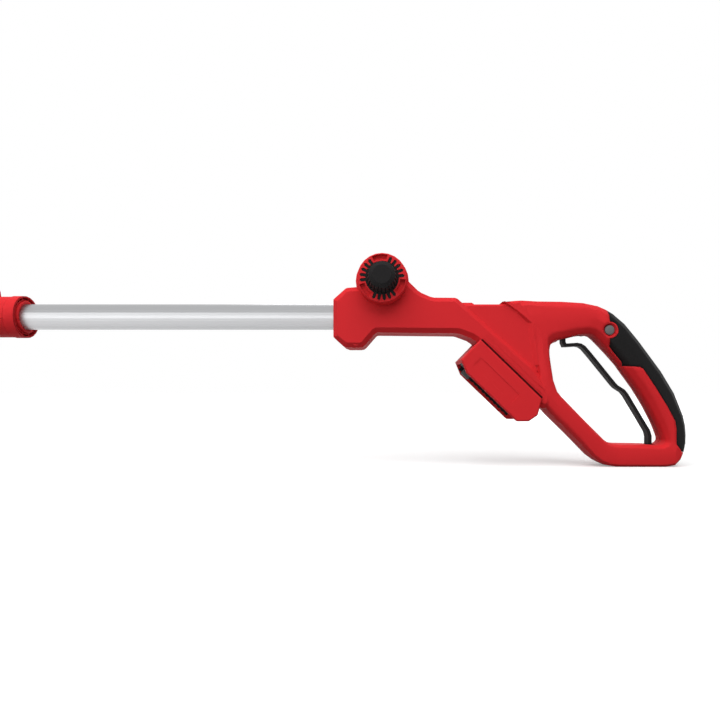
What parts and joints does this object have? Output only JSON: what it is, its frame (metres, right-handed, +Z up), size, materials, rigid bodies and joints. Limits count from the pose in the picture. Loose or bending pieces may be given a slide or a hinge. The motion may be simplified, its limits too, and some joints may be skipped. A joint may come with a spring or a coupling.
{
  "type": "cordless string trimmer",
  "caption": "Cordless string trimmer: D-handle with battery dock, trigger and lock-off, telescoping aluminium shaft, tilting motor head, guard and bump-feed line spool.",
  "frame": {"origin": "middle of the handle's flat foot, on the ground plane under the grip's rear end, in the parting plane of the housing", "axes": "+X from the head towards the rear of the handle, along the shaft; +Y to the right seen from behind the head looking along +X's opposite, normal to the parting plane; +Z up"},
  "size_m": [1.1707, 0.2614, 0.2057],
  "materials": {
    "red_plastic": "fine moulded grain",
    "black_plastic": "satin moulded",
    "grey_plastic": "satin moulded",
    "grip_rubber": "soft textured",
    "steel": "zinc plated",
    "copper": "tin plated copper",
    "aluminium_tube": "drawn, satin anodised"
  },
  "bodies": {
    "handle": {"housing_left": "red_plastic", "housing_right": "red_plastic", "grip_left": "grip_rubber", "grip_right": "grip_rubber", "battery_dock": "red_plastic", "terminal_block": "black_plastic", "contact_blade_1": "copper", "contact_blade_2": "copper", "contact_blade_3": "copper", "upper_tube": "aluminium_tube", "guide_bush": "black_plastic", "trigger_pin": "steel", "switch": "black_plastic"},
    "trigger": {"trigger": "black_plastic"},
    "switch_plunger": {"switch_plunger": "red_plastic"},
    "lock_off_button": {"lock_off_button": "grey_plastic"},
    "aux_button_left": {"aux_button_left": "black_plastic"},
    "aux_button_right": {"aux_button_right": "black_plastic"},
    "lower_shaft": {"collar": "red_plastic", "sleeve_top": "red_plastic", "sleeve_bottom": "red_plastic", "clamp_shoe": "grey_plastic", "lever_pin": "steel", "yoke": "black_plastic", "pivot_bolt": "steel"},
    "lock_lever": {"lock_lever": "black_plastic"},
    "tilt_button": {"tilt_button": "red_plastic"},
    "head": {"motor_housing_left": "red_plastic", "motor_housing_right": "red_plastic", "motor_can": "steel", "guard": "black_plastic", "line_cutter": "steel"},
    "edge_guide": {"edge_guide": "steel"},
    "spool": {"spool_housing": "black_plastic", "spool_cap": "black_plastic", "eyelet_left": "steel", "eyelet_right": "steel", "motor_shaft": "steel", "bump_spring": "steel"},
    "reel": {"reel": "grey_plastic", "bump_knob": "black_plastic"}
  },
  "joints": [
    {"name": "trigger_pivot", "type": "hinge", "parent": "handle", "child": "trigger", "pos_m": [0.0118, 0, 0.0135], "axis": [0, 1, 0], "range_deg": [0, 5.5], "stiffness_Nm_per_rad": 3, "springref_deg": -2.86},
    {"name": "plunger_slide", "type": "slide", "parent": "handle", "child": "switch_plunger", "axis": [1, 0, 0], "range_m": [0, 0.0015], "stiffness_N_per_m": 300, "springref_m": -0.001},
    {"name": "lock_off_slide", "type": "slide", "parent": "handle", "child": "lock_off_button", "axis": [0, 1, 0], "range_m": [-0.003, 0.003], "stiffness_N_per_m": 300},
    {"name": "aux_left_slide", "type": "slide", "parent": "handle", "child": "aux_button_left", "axis": [0, 1, 0], "range_m": [0, 0.006], "stiffness_N_per_m": 500, "springref_m": -0.004},
    {"name": "aux_right_slide", "type": "slide", "parent": "handle", "child": "aux_button_right", "axis": [0, -1, 0], "range_m": [0, 0.006], "stiffness_N_per_m": 500, "springref_m": -0.004},
    {"name": "shaft_telescope", "type": "slide", "parent": "handle", "child": "lower_shaft", "axis": [1, 0, 0], "range_m": [0, 0.12]},
    {"name": "lever_pivot", "type": "hinge", "parent": "lower_shaft", "child": "lock_lever", "pos_m": [-0.6475, 0, 0.1738], "axis": [0, 1, 0], "range_deg": [0, 100]},
    {"name": "tilt_button_slide", "type": "slide", "parent": "lower_shaft", "child": "tilt_button", "axis": [0, 0, -1], "range_m": [0, 0.0025], "stiffness_N_per_m": 400, "springref_m": -0.002},
    {"name": "head_tilt", "type": "hinge", "parent": "lower_shaft", "child": "head", "pos_m": [-0.9115, 0, 0.148], "axis": [0, 1, 0], "range_deg": [-15, 60]},
    {"name": "edge_guide_pivot", "type": "hinge", "parent": "head", "child": "edge_guide", "pos_m": [-0.9735, 0, 0.0673], "axis": [0, 1, 0], "range_deg": [0, 90]},
    {"name": "spool_spin", "type": "hinge", "parent": "head", "child": "spool", "pos_m": [-0.9735, 0, 0.054], "axis": [0, 0, 1], "continuous": true},
    {"name": "bump_slide", "type": "slide", "parent": "spool", "child": "reel", "axis": [0, 0, 1], "range_m": [0, 0.005], "stiffness_N_per_m": 1500, "springref_m": -0.003, "deforming": ["bump_spring"]}
  ]
}
